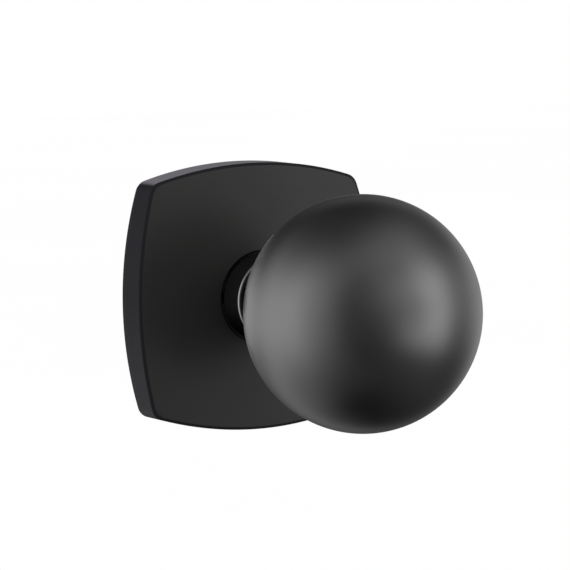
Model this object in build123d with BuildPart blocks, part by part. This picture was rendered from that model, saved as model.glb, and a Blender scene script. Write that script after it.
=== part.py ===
"""Ball door knob on a square cushion rosette: the outside half of a passage knob set.

Frame: millimetres, +Z up, origin at the centre of the rosette on the face of the door (y = 0).
The knob stands out of the door towards -Y and its spindle and bolt posts run into the door
towards +Y. A "height" is a distance from the face of the door, out into the room.
"""
from build123d import *
from math import asin, cos, degrees, radians, sin, sqrt, tan
import os

os.makedirs("parts", exist_ok=True)

# ---------------------------------------------------------------- driving dimensions (mm)
ROSETTE_HALF = 33.5          # 67 mm (2 5/8 in) square, covers a 54 mm bore
SIDE_BOW_RADIUS = 94.0       # the four sides are shallow outward arcs
CORNER_RADIUS = 3.6
EDGE_HEIGHT = 9.5            # front edge of the rosette at the middle of each side
DOME_RADIUS = 239.0          # face of the rosette, part of a large sphere
ROSETTE_WALL = 2.0
FRONT_EDGE_BREAK = 0.45

BALL_RADIUS = 28.6           # 57.2 mm (2 1/4 in) ball
BALL_CENTRE = 60.5           # height of the ball's centre
BALL_WALL = 2.5

COLLAR_RADIUS = 11.3
COLLAR_FRONT = 19.8          # height of the collar's front edge
COLLAR_RECESS_RADIUS = 10.55
WASHER_THICKNESS = 0.4       # fibre washer under the collar

TUBE_RADIUS = 10.0           # threaded tube of the mounting plate
TUBE_BORE_RADIUS = 8.5
TUBE_FRONT = 15.8
PLATE_THICKNESS = 3.0
PLATE_GAP = 0.3              # between the plate and the rosette's inner wall

JOURNAL_RADIUS = 7.5         # the neck where it turns in its bush
RUNNING_GAP = 0.05           # radial clearance of every turning fit
SPINDLE_SIZE = 8.0           # square spindle, across the flats
SOCKET_SIZE = 8.1
SPINDLE_REACH = 44.0         # how far the spindle runs into the door
SPINDLE_TOP = 35.0           # height of its other end, inside the ball

POST_CENTRES = 38.1          # two bolt posts above each other (1 1/2 in)
POST_RADIUS = 3.2
POST_REACH = 40.0
POST_THREAD_RADIUS = 2.1     # M5 tapping hole
POST_THREAD_DEPTH = 26.0

WOOD_SCREW_CENTRES = 43.0    # square of four surface screws, outside the 54 mm bore
CUP_RADIUS = 15.2            # spring housing
CUP_BORE_RADIUS = 14.2
CUP_DEPTH = 15.4
CUP_BASE = 2.0
EAR_CENTRES = 39.0           # housing screws, left and right

TURN_LIMIT = 50.0            # degrees each way
STOP_PIN_RADIUS = 1.2
STOP_PIN_PITCH = 11.8        # distance of the stop pin from the axis

# ---------------------------------------------------------------- planes and outlines
def axial_plane(angle):
    """Plane through the knob's axis: local x points outward at an angle above +X, local y is height."""
    turn = radians(angle)
    return Plane(origin=(0, 0, 0), x_dir=(cos(turn), 0, sin(turn)), z_dir=(sin(turn), 0, -cos(turn)))


DOOR = Plane.XZ              # faces the room, so offset(h) is the plane at height h
AXIAL = axial_plane(0)


def dome_height(radius):
    """Height of the rosette's domed face at a distance from its centre."""
    return EDGE_HEIGHT + sqrt(DOME_RADIUS**2 - radius**2) - sqrt(DOME_RADIUS**2 - ROSETTE_HALF**2)


def cushion(inset=0.0):
    """Square with outward-bowed sides and small round corners, drawn inset from the rosette."""
    bow = SIDE_BOW_RADIUS - inset
    corner = CORNER_RADIUS - inset
    quarter = radians(45)
    shift = SIDE_BOW_RADIUS - ROSETTE_HALF
    reach = SIDE_BOW_RADIUS - CORNER_RADIUS
    centre = (-shift + sqrt(2 * reach**2 - shift**2)) / 2    # centre of a corner's round
    side = bow / reach                                       # the round meets the bow on this ray
    tangent = (-shift + (centre + shift) * side, centre * side)
    with BuildSketch(DOOR) as outline:
        with BuildLine():
            for turn in range(4):
                start = Vector(tangent[0], -tangent[1]).rotate(Axis.Z, 90 * turn)
                middle = Vector(bow - shift, 0).rotate(Axis.Z, 90 * turn)
                end = Vector(*tangent).rotate(Axis.Z, 90 * turn)
                tip = Vector(centre + corner * cos(quarter), centre + corner * sin(quarter))
                after = Vector(tangent[1], tangent[0])
                ThreePointArc(start, middle, end)
                ThreePointArc(end, tip.rotate(Axis.Z, 90 * turn), after.rotate(Axis.Z, 90 * turn))
        make_face()
    return outline.sketch


def turned(*outline):
    """Closed profile of (radius, height) points, to be revolved about the knob's axis."""
    with BuildSketch(AXIAL) as profile:
        with BuildLine():
            Polyline(*outline, close=True)
        make_face()
    return profile.sketch


def ring(inner, outer, low, high):
    """Profile of a plain ring between two radii and two heights."""
    return turned((inner, low), (outer, low), (outer, high), (inner, high))


def finish(piece, name):
    """Label one piece and write its STEP file."""
    piece.part.label = name
    export_step(piece.part, f"parts/{name}.step")


# ---------------------------------------------------------------- rosette and what holds it
SEAT_RADIUS = COLLAR_RADIUS + 0.3                # flat land under the collar
SEAT_HEIGHT = dome_height(SEAT_RADIUS)
COLLAR_BASE = SEAT_HEIGHT + WASHER_THICKNESS
ROSETTE_HOLE = TUBE_RADIUS + 0.1
COVER = 60.0                                     # radius that clears the rosette's corners


def domed_block(inset, drop):
    """Cushion-shaped block under the domed face, drawn in and lowered by the wall."""
    with BuildPart() as block:
        extrude(cushion(inset), amount=SEAT_HEIGHT - drop)
        with BuildSketch(AXIAL):
            with BuildLine():
                face = ThreePointArc(
                    (SEAT_RADIUS, SEAT_HEIGHT - drop),
                    (ROSETTE_HALF, dome_height(ROSETTE_HALF) - drop),
                    (COVER, dome_height(COVER) - drop),
                )
                Polyline(face @ 1, (COVER, SEAT_HEIGHT + 1), (SEAT_RADIUS, SEAT_HEIGHT + 1), face @ 0)
            make_face()
        revolve(axis=Axis.Y, mode=Mode.SUBTRACT)
    return block.part


with BuildPart() as rosette:
    add(domed_block(0, 0))
    fillet(rosette.edges().filter_by(GeomType.BSPLINE), radius=FRONT_EDGE_BREAK)
    add(domed_block(ROSETTE_WALL, ROSETTE_WALL), mode=Mode.SUBTRACT)
    with Locations(DOOR.offset(SEAT_HEIGHT)):
        Hole(ROSETTE_HOLE)
finish(rosette, "rosette")

with BuildPart() as collar_washer:
    revolve(ring(ROSETTE_HOLE, COLLAR_RADIUS - 0.3, SEAT_HEIGHT, COLLAR_BASE), axis=Axis.Y)
finish(collar_washer, "collar_washer")

# The ring nut screws onto the plate's tube and clamps the rosette. Its front is a deep recess
# behind a thin rounded lip.
RECESS_FLOOR = TUBE_FRONT - 0.6
LIP_ROUND = 0.3
BASE_CHAMFER = 0.25
with BuildPart() as retaining_collar:
    with BuildSketch(AXIAL):
        with BuildLine():
            Polyline(
                (TUBE_RADIUS, COLLAR_BASE),
                (COLLAR_RADIUS - BASE_CHAMFER, COLLAR_BASE),
                (COLLAR_RADIUS, COLLAR_BASE + BASE_CHAMFER),
                (COLLAR_RADIUS, COLLAR_FRONT),
                (COLLAR_RECESS_RADIUS, COLLAR_FRONT),
                (COLLAR_RECESS_RADIUS, RECESS_FLOOR),
                (TUBE_RADIUS, RECESS_FLOOR),
                close=True,
            )
        make_face()
    revolve(axis=Axis.Y)
    fillet(retaining_collar.edges().group_by(Axis.Y)[0], radius=LIP_ROUND)
finish(retaining_collar, "retaining_collar")

# ---------------------------------------------------------------- mounting plate
POST_SPIGOT_RADIUS = 2.5
WOOD_SCREW_HOLE = 1.9
WOOD_SCREW_HEAD = 3.5
HOUSING_SCREW_RADIUS = 1.5
RIB_HALF_THICKNESS = 0.8
RIB_REACH = 21.0
RIB_HEIGHT = 7.5
PIN_SEAT_DEPTH = 2.2


with BuildPart() as mounting_plate:
    extrude(cushion(ROSETTE_WALL + PLATE_GAP), amount=PLATE_THICKNESS)
    with BuildSketch(DOOR.offset(PLATE_THICKNESS)):
        Circle(TUBE_RADIUS)
    extrude(amount=TUBE_FRONT - PLATE_THICKNESS)
    for corner in (45, 135, 225, 315):
        with BuildSketch(axial_plane(corner)):
            with BuildLine():
                Polyline(
                    (TUBE_RADIUS - 1, PLATE_THICKNESS - 1),
                    (RIB_REACH, PLATE_THICKNESS - 1),
                    (RIB_REACH, PLATE_THICKNESS),
                    (TUBE_RADIUS, RIB_HEIGHT),
                    (TUBE_RADIUS - 1, RIB_HEIGHT),
                    close=True,
                )
            make_face()
        extrude(amount=RIB_HALF_THICKNESS, both=True)
    with Locations(DOOR.offset(TUBE_FRONT)):
        Hole(TUBE_BORE_RADIUS)
    with Locations(DOOR.offset(PLATE_THICKNESS)):
        with GridLocations(WOOD_SCREW_CENTRES, WOOD_SCREW_CENTRES, 2, 2):
            CounterSinkHole(WOOD_SCREW_HOLE, WOOD_SCREW_HEAD + 0.1)
        with GridLocations(0, POST_CENTRES, 1, 2):
            Hole(POST_SPIGOT_RADIUS)
        with GridLocations(EAR_CENTRES, 0, 2, 1):
            Hole(HOUSING_SCREW_RADIUS)
    with BuildSketch(DOOR):
        with Locations((0, -STOP_PIN_PITCH)):
            Circle(STOP_PIN_RADIUS)
    extrude(amount=PIN_SEAT_DEPTH, mode=Mode.SUBTRACT)
finish(mounting_plate, "mounting_plate")

POST_CHAMFER = 0.5
with BuildPart() as bolt_posts:
    with BuildSketch(DOOR.offset(-POST_REACH)):
        with GridLocations(0, POST_CENTRES, 1, 2):
            Circle(POST_RADIUS)
    extrude(amount=POST_REACH)
    chamfer(bolt_posts.edges().group_by(Axis.Y)[-1], length=POST_CHAMFER)
    with BuildSketch(DOOR):
        with GridLocations(0, POST_CENTRES, 1, 2):
            Circle(POST_SPIGOT_RADIUS)
    extrude(amount=PLATE_THICKNESS)
    with BuildSketch(DOOR.offset(-POST_REACH)):
        with GridLocations(0, POST_CENTRES, 1, 2):
            Circle(POST_THREAD_RADIUS)
    extrude(amount=POST_THREAD_DEPTH, mode=Mode.SUBTRACT)
finish(bolt_posts, "bolt_posts")

# ---------------------------------------------------------------- fasteners
WOOD_SCREW_LENGTH = 12.7
WOOD_SCREW_ROOT = 1.15
WOOD_SCREW_CREST = 1.65
WOOD_SCREW_PITCH = 1.4
WOOD_SCREW_TIP = 3.0
CROSS_WIDTH = 0.8
CROSS_SPAN = 3.4
WOOD_SCREW_RECESS = 1.3


def cross_recess(plane, depth):
    """Two crossed slots sunk into a screw head lying on the plane, to be subtracted."""
    with BuildPart() as recess:
        with BuildSketch(plane):
            Rectangle(CROSS_SPAN, CROSS_WIDTH)
            Rectangle(CROSS_WIDTH, CROSS_SPAN)
        extrude(amount=-depth)
    return recess.part


def thread_outline(top, bottom):
    """Saw-tooth (radius, height) points down a wood screw's side."""
    points = []
    for turn in range(int((top - bottom) / WOOD_SCREW_PITCH)):
        level = top - turn * WOOD_SCREW_PITCH
        points.append((WOOD_SCREW_ROOT, level))
        points.append((WOOD_SCREW_CREST, level - 0.5 * WOOD_SCREW_PITCH))
        points.append((WOOD_SCREW_ROOT, level - 0.9 * WOOD_SCREW_PITCH))
    return points


screw_end = PLATE_THICKNESS - WOOD_SCREW_LENGTH
shank_end = PLATE_THICKNESS - (WOOD_SCREW_HEAD - WOOD_SCREW_HOLE + 0.1)
with BuildPart() as wood_screw:
    with BuildSketch(AXIAL):
        with BuildLine():
            Polyline(
                (0, PLATE_THICKNESS),
                (WOOD_SCREW_HEAD, PLATE_THICKNESS),
                (WOOD_SCREW_HOLE - 0.1, shank_end),
                *thread_outline(shank_end - 0.5, screw_end + WOOD_SCREW_TIP),
                (0, screw_end),
                close=True,
            )
        make_face()
    revolve(axis=Axis.Y)
    add(cross_recess(DOOR.offset(PLATE_THICKNESS), WOOD_SCREW_RECESS), mode=Mode.SUBTRACT)

upright_screw = wood_screw.part.rotate(Axis.X, -90)    # stood up along +Z, as the grid places it
with BuildPart() as wood_screws:
    with Locations(DOOR):
        with GridLocations(WOOD_SCREW_CENTRES, WOOD_SCREW_CENTRES, 2, 2):
            add(upright_screw)
finish(wood_screws, "wood_screws")

EAR_THICKNESS = 1.5
EAR_RADIUS = 3.6
PAN_HEAD_RADIUS = 2.8
PAN_HEAD_HEIGHT = 1.8
PAN_HEAD_RECESS = 1.2
HOUSING_SCREW_ENGAGEMENT = 2.7
with BuildPart() as housing_screws:
    with BuildSketch(DOOR.offset(-EAR_THICKNESS)):
        with GridLocations(EAR_CENTRES, 0, 2, 1):
            Circle(HOUSING_SCREW_RADIUS)
    extrude(amount=EAR_THICKNESS + HOUSING_SCREW_ENGAGEMENT)
    with BuildSketch(DOOR.offset(-EAR_THICKNESS)):
        with GridLocations(EAR_CENTRES, 0, 2, 1):
            Circle(PAN_HEAD_RADIUS)
    extrude(amount=-PAN_HEAD_HEIGHT)
    fillet(housing_screws.edges().group_by(Axis.Y)[-1], radius=PAN_HEAD_HEIGHT / 2)
    with Locations(DOOR.offset(-EAR_THICKNESS - PAN_HEAD_HEIGHT)):
        with GridLocations(EAR_CENTRES, 0, 2, 1):
            add(cross_recess(Plane.XY, -PAN_HEAD_RECESS), mode=Mode.SUBTRACT)
finish(housing_screws, "housing_screws")

# ---------------------------------------------------------------- knob: ball, neck, spindle
BALL_SEAT_HEIGHT = 33.7                          # flat on the back of the ball
SPIGOT_RADIUS = 8.0
SPIGOT_TOP = 38.0
seat_radius = sqrt(BALL_RADIUS**2 - (BALL_CENTRE - BALL_SEAT_HEIGHT) ** 2)
hollow_radius = BALL_RADIUS - BALL_WALL
hollow_back = BALL_CENTRE - sqrt(hollow_radius**2 - SPIGOT_RADIUS**2)

with BuildPart() as knob_ball:
    with BuildSketch(AXIAL):
        with BuildLine():
            outer = ThreePointArc(
                (seat_radius, BALL_SEAT_HEIGHT),
                (BALL_RADIUS, BALL_CENTRE),
                (0, BALL_CENTRE + BALL_RADIUS),
            )
            inner = ThreePointArc(
                (0, BALL_CENTRE + hollow_radius),
                (hollow_radius, BALL_CENTRE),
                (SPIGOT_RADIUS, hollow_back),
            )
            Line(outer @ 1, inner @ 0)
            Polyline(inner @ 1, (SPIGOT_RADIUS, BALL_SEAT_HEIGHT), outer @ 0)
        make_face()
    revolve(axis=Axis.Y)
finish(knob_ball, "knob_ball")

BUSH_FLANGE = 0.7
SHOULDER_HEIGHT = TUBE_FRONT + BUSH_FLANGE + RUNNING_GAP
SHOULDER_RADIUS = 8.4
FLARE_START = 22.0
FLARE_END = 30.5
FLARE_SAG = 0.22                                 # how little the flare has grown at its middle
HEEL_RADIUS = 9.3                                # neck where it meets the ball
NECK_BACK = -3.8
CLIP_FRONT = -1.65
CLIP_THICKNESS = 1.0
GROOVE_RADIUS = 6.7
SOCKET_TOP = 36.0
SET_SCREW_HEIGHT = 27.0
SET_SCREW_RADIUS = 2.5

with BuildPart() as knob_neck:
    with BuildSketch(AXIAL):
        with BuildLine():
            flare = ThreePointArc(
                (SHOULDER_RADIUS, FLARE_START),
                (SHOULDER_RADIUS + FLARE_SAG, (FLARE_START + FLARE_END) / 2),
                (HEEL_RADIUS, FLARE_END),
            )
            Polyline(
                flare @ 1,
                (HEEL_RADIUS, BALL_SEAT_HEIGHT),
                (SPIGOT_RADIUS, BALL_SEAT_HEIGHT),
                (SPIGOT_RADIUS, SPIGOT_TOP),
                (0, SPIGOT_TOP),
                (0, NECK_BACK),
                (JOURNAL_RADIUS, NECK_BACK),
                (JOURNAL_RADIUS, CLIP_FRONT - CLIP_THICKNESS),
                (GROOVE_RADIUS, CLIP_FRONT - CLIP_THICKNESS),
                (GROOVE_RADIUS, CLIP_FRONT),
                (JOURNAL_RADIUS, CLIP_FRONT),
                (JOURNAL_RADIUS, SHOULDER_HEIGHT),
                (SHOULDER_RADIUS, SHOULDER_HEIGHT),
                flare @ 0,
            )
        make_face()
    revolve(axis=Axis.Y)
    with BuildSketch(DOOR.offset(NECK_BACK)):
        Rectangle(SOCKET_SIZE, SOCKET_SIZE)
    extrude(amount=SOCKET_TOP - NECK_BACK, mode=Mode.SUBTRACT)
    with BuildSketch(Plane.XY):
        with Locations((0, -SET_SCREW_HEIGHT)):
            Circle(SET_SCREW_RADIUS)
    extrude(amount=-HEEL_RADIUS, mode=Mode.SUBTRACT)
finish(knob_neck, "knob_neck")

SET_SCREW_LENGTH = 4.2
SET_SCREW_CHAMFER = 0.4
SET_SCREW_KEY = 2.5
KEY_DEPTH = 2.2
with BuildPart() as neck_set_screw:
    with BuildSketch(Plane.XY.offset(-SPINDLE_SIZE / 2)):
        with Locations((0, -SET_SCREW_HEIGHT)):
            Circle(SET_SCREW_RADIUS)
    extrude(amount=-SET_SCREW_LENGTH)
    chamfer(neck_set_screw.edges().filter_by(GeomType.CIRCLE), length=SET_SCREW_CHAMFER)
    with BuildSketch(Plane.XY.offset(-SPINDLE_SIZE / 2 - SET_SCREW_LENGTH)):
        with Locations((0, -SET_SCREW_HEIGHT)):
            RegularPolygon(SET_SCREW_KEY / 2, 6, major_radius=False)
    extrude(amount=KEY_DEPTH, mode=Mode.SUBTRACT)
finish(neck_set_screw, "neck_set_screw")

SPINDLE_EDGE = 0.7
with BuildPart() as spindle:
    with BuildSketch(DOOR.offset(-SPINDLE_REACH)):
        Rectangle(SPINDLE_SIZE, SPINDLE_SIZE)
    extrude(amount=SPINDLE_REACH + SPINDLE_TOP)
    chamfer(spindle.edges().filter_by(Axis.Y), length=SPINDLE_EDGE)
    chamfer(spindle.faces().sort_by(Axis.Y)[-1].edges(), length=SPINDLE_EDGE)
finish(spindle, "spindle")

# ---------------------------------------------------------------- bearings and retention
BUSH_BACK = 0.2                                  # the bush stops short of the thrust washer
with BuildPart() as neck_bush:
    bore = JOURNAL_RADIUS + RUNNING_GAP
    revolve(
        turned(
            (bore, BUSH_BACK),
            (TUBE_BORE_RADIUS, BUSH_BACK),
            (TUBE_BORE_RADIUS, TUBE_FRONT),
            (TUBE_RADIUS - 0.1, TUBE_FRONT),
            (TUBE_RADIUS - 0.1, TUBE_FRONT + BUSH_FLANGE),
            (bore, TUBE_FRONT + BUSH_FLANGE),
        ),
        axis=Axis.Y,
    )
finish(neck_bush, "neck_bush")

THRUST_THICKNESS = 0.8
THRUST_OUTER = 9.4
THRUST_INNER = JOURNAL_RADIUS + 0.2
with BuildPart() as thrust_washer:
    revolve(ring(THRUST_INNER, THRUST_OUTER, -THRUST_THICKNESS, 0), axis=Axis.Y)
finish(thrust_washer, "thrust_washer")

# A curved spring washer: a strip bent to a shallow arc, cut to a ring.
WAVE_OUTER = 9.3
WAVE_SHEET = 0.3
WAVE_RISE = 0.45
with BuildPart() as spring_washer:
    with BuildSketch(Plane.XY):
        with BuildLine():
            crest = ThreePointArc(
                (-WAVE_OUTER, THRUST_THICKNESS + WAVE_RISE),
                (0, THRUST_THICKNESS),
                (WAVE_OUTER, THRUST_THICKNESS + WAVE_RISE),
            )
            trough = ThreePointArc(
                (-WAVE_OUTER, THRUST_THICKNESS + WAVE_RISE + WAVE_SHEET),
                (0, THRUST_THICKNESS + WAVE_SHEET),
                (WAVE_OUTER, THRUST_THICKNESS + WAVE_RISE + WAVE_SHEET),
            )
            Line(crest @ 0, trough @ 0)
            Line(crest @ 1, trough @ 1)
        make_face()
    extrude(amount=WAVE_OUTER, both=True)
    with BuildSketch(DOOR):
        Circle(WAVE_OUTER)
        Circle(THRUST_INNER, mode=Mode.SUBTRACT)
    extrude(amount=-2 * THRUST_THICKNESS, mode=Mode.INTERSECT)
finish(spring_washer, "spring_washer")

CLIP_OUTER = 8.8
CLIP_EYE_RADIUS = 1.4
CLIP_EYE_HOLE = 0.6
CLIP_EYE_PITCH = 8.5
CLIP_EYE_ANGLE = 26.0                            # each side of the open bottom
CLIP_OPENING_ANGLE = 18.0
with BuildPart() as retaining_clip:
    with BuildSketch(DOOR.offset(CLIP_FRONT - CLIP_THICKNESS)):
        Circle(CLIP_OUTER)
        with PolarLocations(CLIP_EYE_PITCH, 2, -90 - CLIP_EYE_ANGLE, 4 * CLIP_EYE_ANGLE):
            Circle(CLIP_EYE_RADIUS)
            Circle(CLIP_EYE_HOLE, mode=Mode.SUBTRACT)
        Circle(GROOVE_RADIUS, mode=Mode.SUBTRACT)
        with BuildLine():
            depth = CLIP_OUTER + CLIP_EYE_RADIUS
            spread = depth * tan(radians(CLIP_OPENING_ANGLE))
            Polyline((0, 0), (spread, -depth), (-spread, -depth), close=True)
        make_face(mode=Mode.SUBTRACT)
    extrude(amount=CLIP_THICKNESS)
finish(retaining_clip, "retaining_clip")

# ---------------------------------------------------------------- spring housing behind the plate
REAR_BUSH_RADIUS = 8.3
REAR_JOURNAL_RADIUS = 7.0
REAR_FLANGE = 0.8
WIRE_RADIUS = 0.6
COIL_RADIUS = 10.3
COIL_START = 6.9                                 # depth of the coil's front turn behind the door's face
COIL_TURNS = 3
COIL_PITCH = 1.55
TANG_RADIUS = 0.58                               # the wire is drawn slightly thinner at its bends
TANG_ROOT = 0.45                                 # how deep a tang starts inside the coil's wire
TANG_CLEARANCE = 0.2
cup_floor = -CUP_DEPTH + CUP_BASE

with BuildPart() as spring_housing:
    revolve(
        turned(
            (REAR_BUSH_RADIUS, -CUP_DEPTH),
            (CUP_RADIUS - 1, -CUP_DEPTH),
            (CUP_RADIUS, -CUP_DEPTH + 1),
            (CUP_RADIUS, 0),
            (CUP_BORE_RADIUS, 0),
            (CUP_BORE_RADIUS, cup_floor),
            (REAR_BUSH_RADIUS, cup_floor),
        ),
        axis=Axis.Y,
    )
    with BuildSketch(DOOR.offset(-EAR_THICKNESS)):
        Rectangle(EAR_CENTRES, 2 * EAR_RADIUS)
        with GridLocations(EAR_CENTRES, 0, 2, 1):
            Circle(EAR_RADIUS)
            Circle(HOUSING_SCREW_RADIUS, mode=Mode.SUBTRACT)
        Circle((CUP_BORE_RADIUS + CUP_RADIUS) / 2, mode=Mode.SUBTRACT)
    extrude(amount=EAR_THICKNESS)
    with Locations(DOOR.offset(cup_floor)):
        with Locations((0, COIL_RADIUS)):
            Hole(WIRE_RADIUS + TANG_CLEARANCE)
finish(spring_housing, "spring_housing")

with BuildPart() as rear_bush:
    bore = REAR_JOURNAL_RADIUS + RUNNING_GAP
    revolve(
        turned(
            (bore, -CUP_DEPTH),
            (REAR_BUSH_RADIUS, -CUP_DEPTH),
            (REAR_BUSH_RADIUS, cup_floor),
            (REAR_BUSH_RADIUS + 1, cup_floor),
            (REAR_BUSH_RADIUS + 1, cup_floor + REAR_FLANGE),
            (bore, cup_floor + REAR_FLANGE),
        ),
        axis=Axis.Y,
    )
finish(rear_bush, "rear_bush")

HUB_FRONT = -4.3
HUB_FLANGE_THICKNESS = 1.4
HUB_FLANGE_RADIUS = 13.4
HUB_BARREL_RADIUS = 8.8
HUB_TAIL = 0.6                                   # journal standing out behind the housing
NOTCH_FLOOR = STOP_PIN_PITCH - STOP_PIN_RADIUS - 0.3
PIN_HALF_ANGLE = degrees(asin(STOP_PIN_RADIUS / STOP_PIN_PITCH))
NOTCH_HALF_ANGLE = TURN_LIMIT + PIN_HALF_ANGLE + 0.3
barrel_back = cup_floor + REAR_FLANGE + RUNNING_GAP
flange_back = HUB_FRONT - HUB_FLANGE_THICKNESS

with BuildPart() as drive_hub:
    revolve(
        turned(
            (0, HUB_FRONT),
            (HUB_FLANGE_RADIUS, HUB_FRONT),
            (HUB_FLANGE_RADIUS, flange_back),
            (HUB_BARREL_RADIUS, flange_back),
            (HUB_BARREL_RADIUS, barrel_back),
            (REAR_JOURNAL_RADIUS, barrel_back),
            (REAR_JOURNAL_RADIUS, -CUP_DEPTH - HUB_TAIL),
            (0, -CUP_DEPTH - HUB_TAIL),
        ),
        axis=Axis.Y,
    )
    with BuildSketch(axial_plane(-90 + NOTCH_HALF_ANGLE)):
        with BuildLine():
            Polyline(
                (NOTCH_FLOOR, HUB_FRONT + 1),
                (HUB_FLANGE_RADIUS + 1, HUB_FRONT + 1),
                (HUB_FLANGE_RADIUS + 1, flange_back),
                (NOTCH_FLOOR, flange_back),
                close=True,
            )
        make_face()
    revolve(axis=Axis.Y, revolution_arc=2 * NOTCH_HALF_ANGLE, mode=Mode.SUBTRACT)
    with BuildSketch(DOOR.offset(-CUP_DEPTH - HUB_TAIL)):
        Rectangle(SOCKET_SIZE, SOCKET_SIZE)
    extrude(amount=CUP_DEPTH, mode=Mode.SUBTRACT)
    with BuildSketch(DOOR.offset(flange_back)):
        with Locations((0, COIL_RADIUS)):
            Circle(WIRE_RADIUS + TANG_CLEARANCE)
    extrude(amount=HUB_FLANGE_THICKNESS, mode=Mode.SUBTRACT)
finish(drive_hub, "drive_hub")

PIN_CHAMFER = 0.2
with BuildPart() as stop_pin:
    with BuildSketch(DOOR.offset(flange_back)):
        with Locations((0, -STOP_PIN_PITCH)):
            Circle(STOP_PIN_RADIUS)
    extrude(amount=PIN_SEAT_DEPTH - flange_back)
    chamfer(stop_pin.edges().group_by(Axis.Y)[-1], length=PIN_CHAMFER)
finish(stop_pin, "stop_pin")

# The coil's front tang turns with the hub and its back tang stays in the housing.
coil_length = COIL_TURNS * COIL_PITCH
with BuildPart() as return_spring:
    with BuildLine():
        coil = Helix(COIL_PITCH, coil_length, COIL_RADIUS, center=(0, COIL_START, 0), direction=(0, 1, 0))
    with BuildSketch(Plane(origin=coil @ 0, z_dir=coil % 0)):
        Circle(WIRE_RADIUS)
    sweep(path=coil, is_frenet=True)
    with BuildSketch(Plane(origin=coil @ 0, z_dir=(0, -1, 0)).offset(-TANG_ROOT)):
        Circle(TANG_RADIUS)
    extrude(amount=TANG_ROOT + COIL_START + HUB_FRONT)
    with BuildSketch(Plane(origin=coil @ 1, z_dir=(0, 1, 0)).offset(-TANG_ROOT)):
        Circle(TANG_RADIUS)
    extrude(amount=TANG_ROOT + CUP_DEPTH - COIL_START - coil_length)
finish(return_spring, "return_spring")
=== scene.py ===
from math import asin, cos, pi, radians, sin, sqrt

import bmesh
import bpy
from mathutils import Matrix, Vector


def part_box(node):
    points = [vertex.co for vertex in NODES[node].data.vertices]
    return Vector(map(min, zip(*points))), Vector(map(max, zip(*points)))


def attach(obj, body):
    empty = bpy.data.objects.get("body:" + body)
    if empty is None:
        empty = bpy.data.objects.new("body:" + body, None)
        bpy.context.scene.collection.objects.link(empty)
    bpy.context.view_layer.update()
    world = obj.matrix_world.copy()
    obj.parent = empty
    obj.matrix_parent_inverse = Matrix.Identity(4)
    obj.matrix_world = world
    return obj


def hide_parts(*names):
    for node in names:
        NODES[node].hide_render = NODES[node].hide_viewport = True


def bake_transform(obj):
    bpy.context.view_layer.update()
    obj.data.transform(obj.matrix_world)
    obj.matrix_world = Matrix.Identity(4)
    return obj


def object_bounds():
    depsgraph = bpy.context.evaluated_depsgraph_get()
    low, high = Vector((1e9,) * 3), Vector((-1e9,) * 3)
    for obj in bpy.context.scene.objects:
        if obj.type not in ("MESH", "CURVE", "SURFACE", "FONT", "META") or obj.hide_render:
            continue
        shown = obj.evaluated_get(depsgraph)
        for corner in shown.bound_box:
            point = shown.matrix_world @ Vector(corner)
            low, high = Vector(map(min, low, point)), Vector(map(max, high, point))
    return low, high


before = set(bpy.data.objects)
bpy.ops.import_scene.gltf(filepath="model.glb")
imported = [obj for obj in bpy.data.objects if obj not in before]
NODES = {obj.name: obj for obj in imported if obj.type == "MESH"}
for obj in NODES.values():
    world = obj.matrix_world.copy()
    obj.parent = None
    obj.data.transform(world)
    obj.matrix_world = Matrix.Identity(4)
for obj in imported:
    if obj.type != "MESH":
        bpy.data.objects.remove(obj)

CAD_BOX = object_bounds()
MM = 0.001

# ------------------------------------------------------------------ sizes, in millimetres
# A height is a distance from the door's face, out into the room, towards -Y.


def size_mm(node):
    """Lowest and highest corner of a CAD node in millimetres."""
    low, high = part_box(node)
    return Vector(low) / MM, Vector(high) / MM


ROSETTE_LOW, ROSETTE_HIGH = size_mm("rosette")
BALL_LOW, BALL_HIGH = size_mm("knob_ball")
COLLAR_LOW, COLLAR_HIGH = size_mm("retaining_collar")

ROSETTE_HALF = ROSETTE_HIGH.x
SEAT_HEIGHT = -ROSETTE_LOW.y                 # flat land under the collar
SIDE_BOW_RADIUS = 94.0
CORNER_RADIUS = 3.6
DOME_RADIUS = 239.0
ROSETTE_WALL = 2.0
EDGE_BEVEL_WIDTH, EDGE_BEVEL_DROP = 0.50, 0.28   # narrow bevel between the face and the sides
EDGE_ROUND = 0.16
FACE_EASE = 0.12                             # the face starts to turn down this far inside the bevel
BACK_ROUND = 0.35
ROSETTE_LEDGE = 5.0                          # the side wall's inner face reaches up to here
ROSETTE_HOLE = 10.1

BALL_RADIUS = BALL_HIGH.x
BALL_FRONT = -BALL_LOW.y
BALL_CENTRE = BALL_FRONT - BALL_RADIUS
BALL_SEAT = -BALL_HIGH.y
BALL_WALL = 2.5
BALL_BORE = 8.0
BALL_MOUTH_EASE = 0.4

COLLAR_RADIUS = COLLAR_HIGH.x
COLLAR_FRONT = -COLLAR_LOW.y
COLLAR_BASE = -COLLAR_HIGH.y
SEAT_RADIUS = COLLAR_RADIUS + 0.3
COLLAR_BORE, COLLAR_RECESS, RECESS_FLOOR = 10.0, 10.55, 15.2
GROOVE_INNER, GROOVE_OUTER = COLLAR_RADIUS - 0.1, COLLAR_RADIUS + 0.55   # shadow gap round the collar
GROOVE_DEPTH = 0.8

# ------------------------------------------------------------------ mesh tools


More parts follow.
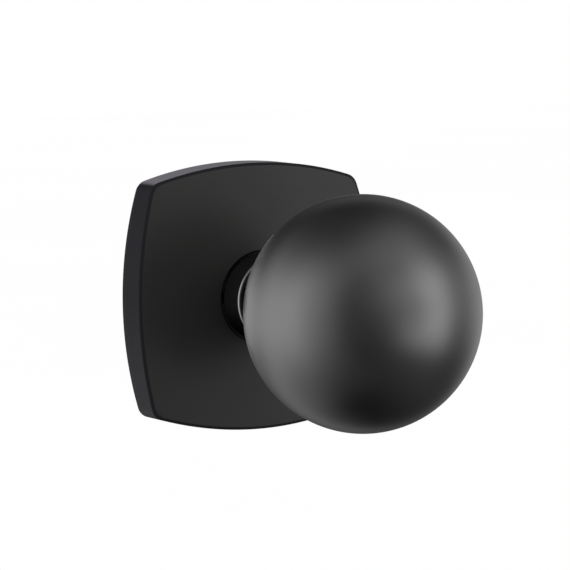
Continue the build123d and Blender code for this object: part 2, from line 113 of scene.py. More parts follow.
def skin(name, rings, loop=False):
    """Mesh skinned over rings of points in millimetres; a ring of one point is a pole."""
    points, starts = [], []
    for ring in rings:
        starts.append(len(points))
        points += [Vector(p) * MM for p in ring]
    pairs = list(zip(range(len(rings) - 1), range(1, len(rings))))
    if loop:
        pairs.append((len(rings) - 1, 0))
    faces = []
    for a, b in pairs:
        size_a, size_b = len(rings[a]), len(rings[b])
        count = max(size_a, size_b)
        for i in range(count):
            j = (i + 1) % count
            front = [starts[a] + i % size_a, starts[a] + j % size_a]
            back = [starts[b] + j % size_b, starts[b] + i % size_b]
            corners = tuple(dict.fromkeys(front + back))
            if len(corners) > 2:
                faces.append(corners)
    mesh = bpy.data.meshes.new(name)
    mesh.from_pydata(points, [], faces)
    return mesh


def circle(radius, height, count):
    """Ring of points about the knob's axis."""
    if radius == 0:
        return [(0, -height, 0)]
    turns = [2 * pi * i / count for i in range(count)]
    return [(radius * cos(t), -height, radius * sin(t)) for t in turns]


def eased(outline, steps=5):
    """Closed outline of (radius, height, rounding) with every corner turned into a small curve."""
    result = []
    count = len(outline)
    for i in range(count):
        before, here, after = (Vector(outline[k % count][:2]) for k in (i - 1, i, i + 1))
        ease = outline[i][2]
        if ease == 0:
            result.append(here)
            continue
        first = here + (before - here).normalized() * ease
        last = here + (after - here).normalized() * ease
        for k in range(steps + 1):
            t = k / steps
            result.append(first.lerp(here, t).lerp(here.lerp(last, t), t))
    return result


def lathe(name, outline, segments=192):
    """Closed body turned about the knob's axis from a closed (radius, height) outline."""
    return skin(name, [circle(p[0], p[1], segments) for p in outline], loop=True)


def face_outward(mesh):
    """Turns every face's normal outward."""
    work = bmesh.new()
    work.from_mesh(mesh)
    bmesh.ops.recalc_face_normals(work, faces=work.faces)
    work.to_mesh(mesh)
    work.free()


def soft_normals(thing, sharp):
    """Smooth shading that keeps edges sharper than the angle and leaves flats flat."""
    mesh = thing.data
    mesh.polygons.foreach_set("use_smooth", [True] * len(mesh.polygons))
    mesh.set_sharp_from_angle(angle=radians(sharp))
    even = thing.modifiers.new("even_normals", "WEIGHTED_NORMAL")
    even.keep_sharp = True


def make_piece(name, mesh, body, node, material, sharp=35):
    """One visible piece that stands for a CAD node and has its own material.

    It rides on the body, or on none when no body is given.
    """
    piece = bpy.data.objects.new(name, mesh)
    bpy.context.scene.collection.objects.link(piece)
    face_outward(mesh)
    soft_normals(piece, sharp)
    mesh.materials.append(material)
    if body:
        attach(piece, body)
    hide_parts(node)
    return piece


def joined(name, parts):
    """One mesh out of several."""
    work = bmesh.new()
    for part in parts:
        work.from_mesh(part)
        bpy.data.meshes.remove(part)
    mesh = bpy.data.meshes.new(name)
    work.to_mesh(mesh)
    work.free()
    return mesh


def tube(name, path, radius, sides=20):
    """Round wire along a path of points in millimetres, its ends slightly rounded."""
    rings = []
    side = Vector((1, 0, 0))
    last = len(path) - 1
    for i, point in enumerate(path):
        along = (path[min(i + 1, last)] - path[max(i - 1, 0)]).normalized()
        side = (side - along * side.dot(along)).normalized()
        up = along.cross(side)
        turns = [2 * pi * k / sides for k in range(sides)]
        ring = [point + (side * cos(t) + up * sin(t)) * radius for t in turns]
        if i == 0:
            rings += [[point], [point.lerp(p, 0.8) for p in ring]]
            rings.append([p + along * 0.2 * radius for p in ring])
        elif i == last:
            rings.append([p - along * 0.2 * radius for p in ring])
            rings += [[point.lerp(p, 0.8) for p in ring], [point]]
        else:
            rings.append(ring)
    return skin(name, rings)


# ------------------------------------------------------------------ hero meshes


def dome_height(radius):
    """Height of the rosette's face at a distance from its centre."""
    return SEAT_HEIGHT + sqrt(DOME_RADIUS**2 - radius**2) - sqrt(DOME_RADIUS**2 - SEAT_RADIUS**2)


def cushion_points():
    """(point, outward normal) round the rosette's outline: four bowed sides and four small rounds."""
    shift = SIDE_BOW_RADIUS - ROSETTE_HALF
    reach = SIDE_BOW_RADIUS - CORNER_RADIUS
    corner = (-shift + sqrt(2 * reach**2 - shift**2)) / 2
    half_angle = Vector((corner + shift, corner)).angle(Vector((1, 0)))
    corner_half = pi / 4 - half_angle
    side_steps, corner_steps = 56, 14
    quarter = []
    for i in range(side_steps):
        turn = half_angle * (2 * i / side_steps - 1)
        normal = Vector((cos(turn), sin(turn)))
        quarter.append((normal * SIDE_BOW_RADIUS - Vector((shift, 0)), normal))
    for i in range(corner_steps):
        turn = half_angle + 2 * corner_half * i / corner_steps
        normal = Vector((cos(turn), sin(turn)))
        quarter.append((Vector((corner, corner)) + normal * CORNER_RADIUS, normal))
    outline = []
    for side in range(4):
        spin = Matrix.Rotation(side * pi / 2, 2)
        outline += [(spin @ point, spin @ normal) for point, normal in quarter]
    return outline


def rosette_mesh():
    """Hollow cushion shell: domed face, narrow front bevel, straight sides, open back."""
    outline = cushion_points()

    def at(inset, height):
        """Ring at a distance inside the outline; height depends on the distance to the centre."""
        spots = [p - n * inset for p, n in outline]
        return [(spot.x, -height(spot.length), spot.y) for spot in spots]

    def spread(inner, inset, share, drop):
        """Ring along the dome, a share of the way from a circle out to the outline."""
        ring = []
        for p, n in outline:
            outer = p - n * inset
            spot = (outer.normalized() * inner).lerp(outer, share)
            ring.append((spot.x, -(dome_height(max(spot.length, SEAT_RADIUS)) - drop), spot.y))
        return ring

    def hole(height, radius=ROSETTE_HOLE):
        """Circle with one point for each point of the outline."""
        spots = [p.normalized() * radius for p, n in outline]
        return [(spot.x, -height, spot.y) for spot in spots]

    face_steps, edge_steps = 26, 5
    bevel_start = EDGE_BEVEL_WIDTH + EDGE_ROUND
    rings = [hole(SEAT_HEIGHT - ROSETTE_WALL), hole(SEAT_HEIGHT), hole(SEAT_HEIGHT, GROOVE_INNER)]
    for radius in (GROOVE_INNER, GROOVE_OUTER):
        rings.append(hole(SEAT_HEIGHT - GROOVE_DEPTH, radius))
    for i in range(face_steps + 1):
        rings.append(spread(GROOVE_OUTER, bevel_start + FACE_EASE, i / face_steps, 0))
    for step, fall in ((0.02, 0.03), (FACE_EASE, 0.075)):
        rings.append(at(bevel_start - step, lambda radius, fall=fall: dome_height(radius) - fall))
    for i in range(edge_steps + 1):
        share = i / edge_steps
        inset = EDGE_ROUND * (1 - share) ** 2
        fall = EDGE_BEVEL_DROP + EDGE_ROUND * (0.55 * 2 * share * (1 - share) + 1.8 * share**2)
        rings.append(at(inset, lambda radius, fall=fall: dome_height(radius) - fall))
    side = [(0, 6.0), (0, 3.0)]
    back_edge = [(0, BACK_ROUND), (0.12, 0.1), (BACK_ROUND, 0)]
    inside = [(ROSETTE_WALL, 0), (ROSETTE_WALL, ROSETTE_LEDGE)]
    for inset, height in side + back_edge + inside:
        rings.append(at(inset, lambda radius, height=height: height))
    for i in range(face_steps + 1):
        rings.append(spread(SEAT_RADIUS, ROSETTE_WALL, 1 - i / face_steps, ROSETTE_WALL))
    return skin("rosette_shell", rings, loop=True)


def ball_mesh():
    """Hollow spun ball with a small flat and a rounded mouth where the neck enters."""
    back = BALL_CENTRE - BALL_SEAT
    start = Vector((sqrt(BALL_RADIUS**2 - back**2), -back)).angle(Vector((0, -1)))
    steps = 150
    outline = []
    for i in range(steps + 1):
        turn = start + (pi - start) * i / steps
        radius = BALL_RADIUS * sin(turn) if i < steps else 0
        outline.append((radius, BALL_CENTRE - BALL_RADIUS * cos(turn)))
    inner = BALL_RADIUS - BALL_WALL
    mouth = Vector((BALL_BORE, -sqrt(inner**2 - BALL_BORE**2))).angle(Vector((0, -1)))
    inner_steps = 60
    for i in range(inner_steps + 1):
        turn = pi - (pi - mouth) * i / inner_steps
        outline.append((inner * sin(turn) if i > 0 else 0, BALL_CENTRE - inner * cos(turn)))
    outline.append((BALL_BORE, BALL_SEAT + BALL_MOUTH_EASE))
    outline.append((BALL_BORE + BALL_MOUTH_EASE, BALL_SEAT))
    return lathe("knob_ball_shell", outline, segments=256)


def collar_mesh():
    """Ring nut with a thin rounded lip round a deep recess."""
    outline = [
        (COLLAR_BORE, COLLAR_BASE, 0.15),
        (COLLAR_RADIUS, COLLAR_BASE, 0.5),
        (COLLAR_RADIUS, COLLAR_FRONT, 0.6),
        (COLLAR_RECESS, COLLAR_FRONT, 0.14),
        (COLLAR_RECESS, RECESS_FLOOR, 0.2),
        (COLLAR_BORE, RECESS_FLOOR, 0.2),
    ]
    return lathe("collar_ring", eased(outline, steps=7), segments=224)


# ------------------------------------------------------------------ hardware meshes
WIRE_RADIUS = 0.6
COIL_RADIUS, COIL_FRONT, COIL_PITCH, COIL_TURNS = 10.3, -6.9, 1.55, 3
TANG_FRONT, TANG_BACK = -4.3, -15.4          # heights of the spring's two straight ends
TANG_BEND, BEND_STEPS = 1.0, 8

POST_HALF_PITCH = 19.05
POST_RADIUS, POST_SPIGOT, POST_BACK = 3.2, 2.5, -40.0
TAP_RADIUS, TAP_DEPTH, TAP_PITCH, TAP_CUT = 2.1, 26.0, 0.8, 0.36

SCREW_HALF_PITCH = 21.5
SCREW_TOP, SCREW_TIP = 3.0, -9.7
SCREW_HEAD, SCREW_HEAD_EDGE, SCREW_SHANK, SHANK_END = 3.5, 2.9, 1.8, 1.3
SCREW_ROOT, SCREW_CREST, SCREW_PITCH, SCREW_POINT = 1.15, 1.65, 1.4, 3.0
CROSS_HALF_WIDTH, CROSS_REACH, CROSS_DEPTH = 0.4, 1.7, 1.3


def spring_mesh():
    """Torsion spring: three turns of round wire with both ends bent back parallel to the axis."""
    path = [Vector((0, -h, COIL_RADIUS)) for h in (TANG_FRONT, -5.0, -5.5, COIL_FRONT + TANG_BEND)]
    for k in range(1, BEND_STEPS):
        turn = pi / 2 * k / BEND_STEPS
        height = COIL_FRONT + TANG_BEND * (1 - sin(turn))
        path.append(Vector((TANG_BEND * (1 - cos(turn)), -height, COIL_RADIUS)))
    lead = asin(TANG_BEND / COIL_RADIUS)
    sweep = 2 * pi * COIL_TURNS
    steps = 64 * COIL_TURNS
    for k in range(steps + 1):
        t = lead + (sweep - 2 * lead) * k / steps
        height = COIL_FRONT - COIL_PITCH * t / (2 * pi)
        path.append(Vector((COIL_RADIUS * sin(t), -height, COIL_RADIUS * cos(t))))
    end = COIL_FRONT - COIL_PITCH * COIL_TURNS
    for k in range(1, BEND_STEPS):
        turn = pi / 2 * k / BEND_STEPS
        height = end - TANG_BEND * (1 - cos(turn))
        path.append(Vector((-TANG_BEND * (1 - sin(turn)), -height, COIL_RADIUS)))
    path += [Vector((0, -h, COIL_RADIUS)) for h in (end - TANG_BEND, -14.0, TANG_BACK)]
    return tube("return_spring_coil", path, WIRE_RADIUS)


def shifted(rings, x, z):
    """The rings moved sideways, to another axis parallel to the knob's."""
    return [[(p[0] + x, p[1], p[2] + z) for p in ring] for ring in rings]


def thread_ring(height, count, pitch, root, crest, hand=1):
    """One ring of a screw thread: the radius rises and falls once round as the helix passes."""
    ring = []
    for i in range(count):
        turn = 2 * pi * i / count
        phase = (height / pitch - hand * turn / (2 * pi)) % 1.0
        rise = max(0.0, 1 - abs(phase - 0.5) / 0.38)
        radius = root + (crest - root) * min(1.0, rise * 1.15)
        ring.append((radius * cos(turn), -height, radius * sin(turn)))
    return ring


def cross_radius(turn):
    """Distance from a screw's centre to the side of its cross recess, in a direction."""
    c, s = abs(cos(turn)) + 1e-9, abs(sin(turn)) + 1e-9
    along = min(CROSS_REACH / c, CROSS_HALF_WIDTH / s)
    across = min(CROSS_HALF_WIDTH / c, CROSS_REACH / s)
    return max(along, across)


def wood_screw_rings(count=80):
    """Countersunk wood screw with a cross recess, a rolled thread and a point."""
    def cross(height, scale):
        turns = [2 * pi * i / count for i in range(count)]
        reach = [cross_radius(t) * scale for t in turns]
        return [(r * cos(t), -height, r * sin(t)) for r, t in zip(reach, turns)]

    floor = SCREW_TOP - CROSS_DEPTH
    rings = [[(0, -floor, 0)], cross(floor, 0.85), cross(SCREW_TOP - 0.05, 1.0), cross(SCREW_TOP, 1.04)]
    rings += [circle(SCREW_HEAD - 0.1, SCREW_TOP, count), circle(SCREW_HEAD, SCREW_TOP - 0.08, count)]
    rings += [circle(SCREW_HEAD, SCREW_HEAD_EDGE - 0.05, count), circle(SCREW_SHANK, SHANK_END, count)]
    thread_top = SHANK_END - 0.5
    steps = round((thread_top - SCREW_TIP) / SCREW_PITCH * 16)
    for k in range(steps):
        height = thread_top + (SCREW_TIP - thread_top) * k / steps
        taper = min(1.0, (height - SCREW_TIP) / SCREW_POINT) ** 0.8
        fade = min(1.0, k / 10)
        root = SCREW_ROOT + (SCREW_SHANK - 0.2 - SCREW_ROOT) * (1 - fade)
        crest = root + (SCREW_CREST - SCREW_ROOT) * fade
        rings.append(thread_ring(height, count, SCREW_PITCH, root * taper, crest * taper))
    rings.append([(0, -SCREW_TIP, 0)])
    return rings


def wood_screws_mesh():
    """The four surface screws."""
    ends = (-SCREW_HALF_PITCH, SCREW_HALF_PITCH)
    spots = [(x, z) for x in ends for z in ends]
    screws = [skin("screw", shifted(wood_screw_rings(), x, z)) for x, z in spots]
    return joined("wood_screw_set", screws)


def post_rings(count=72):
    """Bolt post: spigot staked into the plate, round body with a bevelled end, tapped bore."""
    rings = [[(0, -SCREW_TOP, 0)], circle(0.8, SCREW_TOP - 0.2, count)]
    rings.append(circle(POST_SPIGOT - 0.25, SCREW_TOP, count))
    rings += [circle(POST_SPIGOT, SCREW_TOP - 0.25, count), circle(POST_SPIGOT, 0.02, count)]
    rings += [circle(POST_RADIUS - 0.15, 0, count), circle(POST_RADIUS, -0.15, count)]
    rings.append(circle(POST_RADIUS, POST_BACK + 0.5, count))
    rings.append(circle(POST_RADIUS - 0.08, POST_BACK + 0.28, count))
    rings += [circle(POST_RADIUS - 0.5, POST_BACK, count), circle(TAP_RADIUS + 0.32, POST_BACK, count)]
    steps = round((TAP_DEPTH - 1.0) / TAP_PITCH * 10)
    for k in range(steps + 1):
        height = POST_BACK + 0.22 + (TAP_DEPTH - 1.2) * k / steps
        fade = min(1.0, k / 8, (steps - k) / 10)
        rings.append(thread_ring(height, count, TAP_PITCH, TAP_RADIUS, TAP_RADIUS + TAP_CUT * fade))
    rings.append(circle(TAP_RADIUS, POST_BACK + TAP_DEPTH - 0.4, count))
    rings.append([(0, -(POST_BACK + TAP_DEPTH), 0)])
    return rings


def bolt_posts_mesh():
    """The upper and the lower bolt post."""
    spots = (-POST_HALF_PITCH, POST_HALF_PITCH)
    return joined("bolt_post_pair", [skin("post", shifted(post_rings(), 0, z)) for z in spots])


# ------------------------------------------------------------------ material tools


class Shader:
    """Small helper that adds nodes to one material."""

    def __init__(self, name):
        self.material = bpy.data.materials.new(name)
        self.material.use_nodes = True
        self.tree = self.material.node_tree
        self.bsdf = self.tree.nodes["Principled BSDF"]
        self.place = self.add("ShaderNodeTexCoord").outputs["Object"]

    def add(self, kind, **settings):
        node = self.tree.nodes.new(kind)
        for key, value in settings.items():
            setattr(node, key, value)
        return node

    def link(self, source, target):
        self.tree.links.new(source, target)

    def put(self, socket, value):
        """Sets a socket to a number or a colour, or links it to another node's output."""
        if isinstance(value, bpy.types.NodeSocket):
            self.link(value, socket)
        else:
            socket.default_value = value

    def noise(self, scale, detail=3.0, rough=0.5, stretch=(1, 1, 1)):
        """Noise from 0 to 1; scale is in features per metre."""
        mapping = self.add("ShaderNodeMapping")
        self.link(self.place, mapping.inputs["Vector"])
        mapping.inputs["Scale"].default_value = stretch
        node = self.add("ShaderNodeTexNoise")
        self.link(mapping.outputs["Vector"], node.inputs["Vector"])
        node.inputs["Scale"].default_value = scale
        node.inputs["Detail"].default_value = detail
        node.inputs["Roughness"].default_value = rough
        return node.outputs["Fac"]

    def spread(self, value, low, high, to_low=0.0, to_high=1.0):
        """Maps low..high onto to_low..to_high and clamps it."""
        node = self.add("ShaderNodeMapRange")
        self.put(node.inputs["Value"], value)
        node.inputs["From Min"].default_value = low
        node.inputs["From Max"].default_value = high
        node.inputs["To Min"].default_value = to_low
        node.inputs["To Max"].default_value = to_high
        return node.outputs["Result"]

    def math(self, operation, a, b):
        node = self.add("ShaderNodeMath", operation=operation)
        self.put(node.inputs[0], a)
        self.put(node.inputs[1], b)
        return node.outputs["Value"]

    def mix(self, factor, first, second):
        node = self.add("ShaderNodeMix", data_type="RGBA")
        self.put(node.inputs["Factor"], factor)
        self.put(node.inputs[6], first)
        self.put(node.inputs[7], second)
        return node.outputs[2]

    def towards(self, axis):
        """How squarely the surface faces along an axis: 1 along it, -1 against it."""
        dot = self.add("ShaderNodeVectorMath", operation="DOT_PRODUCT")
        self.link(self.add("ShaderNodeTexCoord").outputs["Normal"], dot.inputs[0])
        dot.inputs[1].default_value = axis
        return dot.outputs["Value"]

    def off_axis(self):
        """Distance in metres from the knob's axis."""
        flat = self.add("ShaderNodeVectorMath", operation="MULTIPLY")
        self.link(self.place, flat.inputs[0])
        flat.inputs[1].default_value = (1, 0, 1)
        length = self.add("ShaderNodeVectorMath", operation="LENGTH")
        self.link(flat.outputs["Vector"], length.inputs[0])
        return length.outputs["Value"]

    def edge(self, radius_mm):
        """Mask that is 1 on edges sharper than the radius and 0 on flats."""
        bevel = self.add("ShaderNodeBevel", samples=4)
        bevel.inputs["Radius"].default_value = radius_mm * MM
        geometry = self.add("ShaderNodeNewGeometry")
        facing = self.add("ShaderNodeVectorMath", operation="DOT_PRODUCT")
        self.link(bevel.outputs["Normal"], facing.inputs[0])
        self.link(geometry.outputs["Normal"], facing.inputs[1])
        return self.spread(facing.outputs["Value"], 0.99, 0.80)

    def bump(self, height, distance_mm, strength=1.0, below=None):
        node = self.add("ShaderNodeBump")
        node.inputs["Strength"].default_value = strength
        node.inputs["Distance"].default_value = distance_mm * MM
        self.put(node.inputs["Height"], height)
        if below is not None:
            self.link(below, node.inputs["Normal"])
        return node.outputs["Normal"]


def black_coat(s, colour, roughness, grain=0.004):
    """Satin black coating on metal: fine even grain, faint handling marks, lighter worn edges."""
    worn = s.math("MULTIPLY", s.edge(0.35), s.spread(s.noise(900, 4), 0.45, 0.7, 0.1, 0.6))
    cloud = s.spread(s.noise(38, 3), 0.3, 0.7)
    lighter = tuple(c * 1.12 for c in colour[:3]) + (1,)
    rubbed = tuple(c * 2.2 for c in colour[:3]) + (1,)
    smudge = s.spread(s.noise(70, 5, 0.6), 0.35, 0.75, -0.012, 0.02)
    speck = s.spread(s.noise(5200, 2), 0.3, 0.7, -0.015, 0.015)
    s.put(s.bsdf.inputs["Roughness"], s.math("ADD", s.math("ADD", smudge, speck), roughness))
    peel = s.bump(s.noise(1300, 2), 0.004, 0.5)
    s.put(s.bsdf.inputs["Normal"], s.bump(s.noise(6500, 2), grain, 0.6, below=peel))
    return s.mix(worn, s.mix(cloud, colour, lighter), rubbed)


def ball_black():
    """Deep black with a soft sheen."""
    s = Shader("ball_black")
    s.put(s.bsdf.inputs["Base Color"], black_coat(s, (0.0004, 0.0004, 0.0004, 1), 0.30))
    return s.material


FACE_TONE = (0.0134, 0.0130, 0.0128, 1)
# Painted light: the tone off the face and the paler tone of the lower sides stand in for how the light
# falls on the sides.
OFF_FACE_PAINTED_LIGHT = (0.0084, 0.0082, 0.0098, 1)
LOW_SIDE_PAINTED_LIGHT = (0.0200, 0.0196, 0.0215, 1)
# Painted sheen: the top side is coloured far paler than the rest.
TOP_SIDE_PAINTED_SHEEN = (0.096, 0.092, 0.102, 1)
# Painted shade: near-black colour for the groove and the seat round the collar.
GAP_PAINTED_SHADE = (0.0006, 0.0006, 0.0006, 1)


def rosette_black():
    """Black whose tone depends on where a surface faces, so that it matches the photo's lighting.

    It is warm on the face; off it the colour carries painted light: cooler, a little paler on the lower
    sides, palest on the top side as a painted sheen, and nearly black in the groove round the collar as
    painted shade.
    """
    s = Shader("rosette_black")
    forward, upward = s.towards((0, -1, 0)), s.towards((0, 0, 1))
    off_face = s.spread(forward, 0.93, 0.98, 1.0, 0.0)
    upright = s.spread(forward, 0.15, 0.40, 1.0, 0.0)
    # painted sheen on the top side
    top_sheen_mask = s.math("MULTIPLY", upright, s.spread(upward, 0.72, 0.92))
    # painted light: the lower sides are coloured paler
    low_side_light_mask = s.math("MULTIPLY", upright, s.spread(upward, 0.0, -0.45))
    tone = black_coat(s, FACE_TONE, 0.30)
    # painted light: a cooler, darker tone off the face
    tone = s.mix(off_face, tone, OFF_FACE_PAINTED_LIGHT)
    tone = s.mix(low_side_light_mask, tone, LOW_SIDE_PAINTED_LIGHT)
    tone = s.mix(top_sheen_mask, tone, TOP_SIDE_PAINTED_SHEEN)
    # painted shade: the groove and the seat under the collar are coloured nearly black
    gap_shade_mask = s.spread(s.off_axis(), (GROOVE_OUTER - 0.02) * MM, (GROOVE_OUTER + 0.05) * MM, 1.0, 0.0)
    s.put(s.bsdf.inputs["Base Color"], s.mix(gap_shade_mask, tone, GAP_PAINTED_SHADE))
    s.put(s.bsdf.inputs["Specular IOR Level"], s.spread(off_face, 0.0, 1.0, 0.05, 0.004))
    return s.material


def collar_black():
    """Black with no shine round the side, darker from the middle down as painted shade, and glossy on
    the lip.
    """
    s = Shader("collar_black")
    tone = black_coat(s, (0.0044, 0.0044, 0.0045, 1), 0.20, grain=0.002)
    # Painted shade: surfaces facing down are coloured nearly black.
    shade_below_mask = s.spread(s.towards((0, 0, 1)), -0.6, -0.1, 1.0, 0.0)
    s.put(s.bsdf.inputs["Base Color"], s.mix(shade_below_mask, tone, (0.0008, 0.0008, 0.0008, 1)))
    s.put(s.bsdf.inputs["Specular IOR Level"], s.spread(s.towards((0, -1, 0)), 0.03, 0.14, 0.0, 0.90))
    return s.material


def bare_metal(name, colour, roughness, streak=(1, 1, 1), scale=900, depth=0.004):
    """Plated or cast metal: cloudy tone, streaked or grainy surface, brighter worn edges."""
    s = Shader(name)
    cloud = s.spread(s.noise(110, 5, 0.6), 0.3, 0.7)
    darker = tuple(c * 0.72 for c in colour[:3]) + (1,)
    bright = tuple(min(1, c * 1.35) for c in colour[:3]) + (1,)
    worn = s.math("MULTIPLY", s.edge(0.3), 0.7)
    s.put(s.bsdf.inputs["Base Color"], s.mix(worn, s.mix(cloud, darker, colour), bright))
    s.bsdf.inputs["Metallic"].default_value = 1.0
    grain = s.noise(scale, 4, 0.6, stretch=streak)
    s.put(s.bsdf.inputs["Roughness"], s.spread(grain, 0.25, 0.75, roughness - 0.08, roughness + 0.1))
    s.put(s.bsdf.inputs["Normal"], s.bump(grain, depth, 0.6))
    return s.material


def moulded_plastic(name, colour, roughness, shine=0.5):
    """Nylon or fibre: soft mottling and a fine moulded grain."""
    s = Shader(name)
    cloud = s.spread(s.noise(160, 4), 0.3, 0.7)
    darker = tuple(c * 0.8 for c in colour[:3]) + (1,)
    s.put(s.bsdf.inputs["Base Color"], s.mix(cloud, darker, colour))
    mottled = s.spread(s.noise(700, 3), 0.3, 0.7, roughness - 0.06, roughness + 0.08)
    s.put(s.bsdf.inputs["Roughness"], mottled)
    s.bsdf.inputs["Subsurface Weight"].default_value = 0.03
    s.bsdf.inputs["Specular IOR Level"].default_value = shine
    s.put(s.bsdf.inputs["Normal"], s.bump(s.noise(2600, 3), 0.004, 0.5))
    return s.material


# ------------------------------------------------------------------ dress the model
BALL_BLACK = ball_black()
ROSETTE_BLACK = rosette_black()
COLLAR_BLACK = collar_black()
STEEL = bare_metal("bright_steel", (0.26, 0.26, 0.255, 1), 0.34, streak=(1, 0.05, 1))
ZINC = bare_metal("cast_zinc", (0.25, 0.25, 0.245, 1), 0.50, scale=1500, depth=0.012)
SHEET = bare_metal("plated_sheet", (0.25, 0.243, 0.23, 1), 0.38)
SPRING = bare_metal("spring_steel", (0.20, 0.20, 0.21, 1), 0.32)
DARK_STEEL = bare_metal("dark_steel", (0.06, 0.06, 0.065, 1), 0.4)
NYLON_BLACK = moulded_plastic("nylon_black", (0.02, 0.02, 0.02, 1), 0.5)
NYLON_WHITE = moulded_plastic("nylon_white", (0.78, 0.76, 0.70, 1), 0.45)
FIBRE = moulded_plastic("fibre_black", (0.002, 0.002, 0.002, 1), 0.8, shine=0.02)

rosette = make_piece(
    "rosette_shell", rosette_mesh(), "mount", "rosette", ROSETTE_BLACK)
for screen in (rosette, NODES["mounting_plate"]):
    screen.visible_glossy = False            # the ball's rim mirrors the lights behind, as in the photo
make_piece("knob_ball_shell", ball_mesh(), "knob", "knob_ball", BALL_BLACK)
make_piece("collar_ring", collar_mesh(), "mount", "retaining_collar", COLLAR_BLACK)

make_piece(
    "wood_screw_set", wood_screws_mesh(), "mount", "wood_screws", STEEL, sharp=50)
make_piece("bolt_post_pair", bolt_posts_mesh(), "mount", "bolt_posts", STEEL, sharp=50)
spring = make_piece("return_spring_coil", spring_mesh(), None, "return_spring", SPRING)
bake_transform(spring)

CARRIED = {
    "knob_neck": BALL_BLACK, "collar_washer": FIBRE, "mounting_plate": ZINC, "drive_hub": ZINC,
    "spring_housing": SHEET, "housing_screws": STEEL,
    "stop_pin": STEEL, "spindle": STEEL, "neck_set_screw": DARK_STEEL, "retaining_clip": DARK_STEEL,
    "spring_washer": SPRING, "neck_bush": NYLON_BLACK, "rear_bush": NYLON_WHITE,
    "thrust_washer": NYLON_WHITE,
}
for node, material in CARRIED.items():
    for place in NODES[node].material_slots:
        place.material = material

# Widths in millimetres of the small bevels on the carried nodes' sharp edges.
BROKEN_EDGES = {
    "mounting_plate": 0.18, "drive_hub": 0.15, "spring_housing": 0.12, "housing_screws": 0.08,
    "stop_pin": 0.08, "spindle": 0.15, "retaining_clip": 0.08, "knob_neck": 0.12, "rear_bush": 0.1,
}
for node, radius in BROKEN_EDGES.items():
    ease = NODES[node].modifiers.new("broken_edges", "BEVEL")
    ease.width = radius * MM
    ease.segments = 3
    ease.limit_method = "ANGLE"
    ease.angle_limit = radians(28)
    ease.harden_normals = True

# ------------------------------------------------------------------ studio
scene = bpy.context.scene
scene.view_settings.view_transform = "Standard"
scene.view_settings.look = "None"


def pale_floor():
    """Evenly pale floor well below the knob; it can be seen through from underneath."""
    mesh = bpy.data.meshes.new("floor")
    reach, level = 3.0, CAD_BOX[0][2] - 0.09
    near = [(-reach, -reach, level), (reach, -reach, level)]
    far = [(reach, reach, level), (-reach, reach, level)]
    mesh.from_pydata(near + far, [], [(0, 1, 2, 3)])
    floor = bpy.data.objects.new("floor", mesh)
    scene.collection.objects.link(floor)
    s = Shader("pale_floor")
    glow = s.add("ShaderNodeEmission")
    cloud = s.spread(s.noise(2.5, 3), 0.3, 0.7)
    s.put(glow.inputs["Color"], s.mix(cloud, (1.0, 1.0, 1.0, 1), (0.99, 0.99, 0.99, 1)))
    one_sided = s.add("ShaderNodeMixShader")
    s.link(s.add("ShaderNodeNewGeometry").outputs["Backfacing"], one_sided.inputs["Fac"])
    s.link(glow.outputs["Emission"], one_sided.inputs[1])
    s.link(s.add("ShaderNodeBsdfTransparent").outputs["BSDF"], one_sided.inputs[2])
    s.link(one_sided.outputs["Shader"], s.tree.nodes["Material Output"].inputs["Surface"])
    mesh.materials.append(s.material)
    floor.visible_diffuse = False
    floor.visible_glossy = False
    floor.visible_shadow = False


FILL = 0.013                 # brightness of the room between the lights
LIGHT_SHARPNESS = 3.0        # how quickly a light falls off at its border

# Azimuth, elevation, half width and half height in degrees, then brightness. Azimuth 0 is straight
# in front of the door. They began as a fit to the photo's brightness and were then edited.
LIGHTS = [
    (-120, -1, 31, 35, 4.1),     # broad key on the left
    (-84, 10, 28, 43, 2.75),     # its soft spill towards the front
    (-168, -3, 19, 13, 1.3),     # and towards the back
    (36, 17, 40, 20, 2.5),       # broad light on the right
    (45, 12, 16, 33, 2.75),      # its bright middle
    (32, -13, 27, 14, 3.4),      # and its lower end
    (108, -1, 26, 21, 0.82),     # soft light behind it
    (23, 51, 43, 35, 1.98),      # overhead
    (30, -38, 61, 37, 0.45),     # bounce from below
    (-130, -49, 40, 22, 0.8),    # low light behind on the left
    (150, 28, 18, 10, 0.2),      # faint light high behind
    (173, -37, 24, 12, 0.24),    # pale wall low behind
    (140, -1, 13, 14, 0.36),     # pale wall behind, seen in the right rim
]


def direction_to(azimuth, elevation):
    """Unit vector from the knob to a place at the given angles in degrees."""
    turn, rise = radians(azimuth), radians(elevation)
    return Vector((sin(turn) * cos(rise), -cos(turn) * cos(rise), sin(rise)))


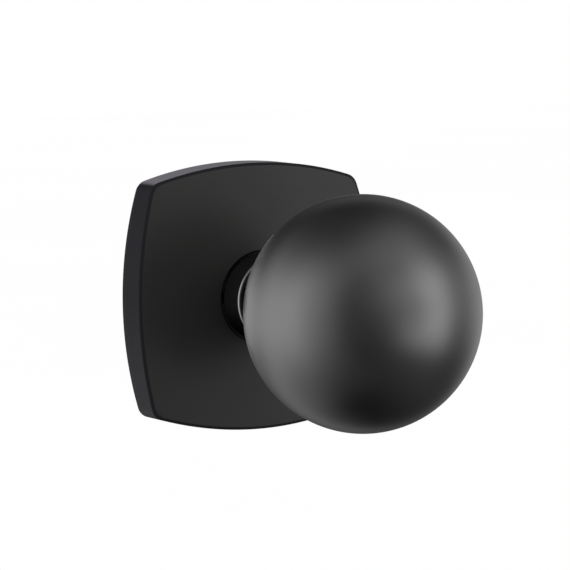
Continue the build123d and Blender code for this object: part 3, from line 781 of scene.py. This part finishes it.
def studio_world(fill, lights):
    """White to the camera; to the object, a dim room with broad soft lights."""
    world = bpy.data.worlds.new("studio")
    scene.world = world
    world.use_nodes = True
    tree = world.node_tree
    tree.nodes.clear()
    add, link = tree.nodes.new, tree.links.new
    direction = add("ShaderNodeTexCoord").outputs["Generated"]

    def vector(operation, a, b):
        node = add("ShaderNodeVectorMath")
        node.operation = operation
        link(a, node.inputs[0])
        node.inputs[1].default_value = b
        return node.outputs["Value"]

    def math(operation, a, b=None):
        node = add("ShaderNodeMath")
        node.operation = operation
        for socket, value in zip(node.inputs, (a, b)):
            if isinstance(value, bpy.types.NodeSocket):
                link(value, socket)
            elif value is not None:
                socket.default_value = value
        return node.outputs["Value"]

    total = None
    for azimuth, elevation, half_width, half_height, brightness in lights:
        ahead = direction_to(azimuth, elevation)
        side = ahead.cross(Vector((0, 0, 1))).normalized()
        up = side.cross(ahead)
        reach = []
        for axis, half_angle in ((side, half_width), (up, half_height)):
            share = math("DIVIDE", vector("DOT_PRODUCT", direction, axis), sin(radians(half_angle)))
            reach.append(math("POWER", math("ABSOLUTE", share), LIGHT_SHARPNESS))
        fall = math("EXPONENT", math("MULTIPLY", math("ADD", *reach), -1.0))
        front = math("GREATER_THAN", vector("DOT_PRODUCT", direction, ahead), 0.0)
        light = math("MULTIPLY", math("MULTIPLY", fall, front), brightness)
        total = light if total is None else math("ADD", total, light)
    soft = add("ShaderNodeBackground")
    soft.inputs["Color"].default_value = (1, 1, 1, 1)
    link(math("ADD", total, fill), soft.inputs["Strength"])
    white = add("ShaderNodeBackground")
    white.inputs["Color"].default_value = (1, 1, 1, 1)
    to_camera = add("ShaderNodeMixShader")
    link(add("ShaderNodeLightPath").outputs["Is Camera Ray"], to_camera.inputs["Fac"])
    link(soft.outputs["Background"], to_camera.inputs[1])
    link(white.outputs["Background"], to_camera.inputs[2])
    link(to_camera.outputs["Shader"], add("ShaderNodeOutputWorld").inputs["Surface"])


def studio_camera():
    """Long lens, to the knob's left and slightly above it."""
    back, roll = direction_to(-29.546, 5.493), radians(-0.382)
    distance, target = 0.957, Vector((0.0130, 0, 0.00138))
    right = (-back).cross(Vector((0, 0, 1))).normalized()
    up = back.cross(right)
    right, up = right * cos(roll) + up * sin(roll), up * cos(roll) - right * sin(roll)
    camera = bpy.data.objects.new("camera", bpy.data.cameras.new("camera"))
    scene.collection.objects.link(camera)
    camera.data.lens = 238.0
    camera.data.sensor_width = 36.0
    place = Matrix((right, up, back)).transposed().to_4x4()
    place.translation = target + back * distance
    camera.matrix_world = place
    scene.camera = camera


pale_floor()
studio_world(FILL, LIGHTS)
studio_camera()
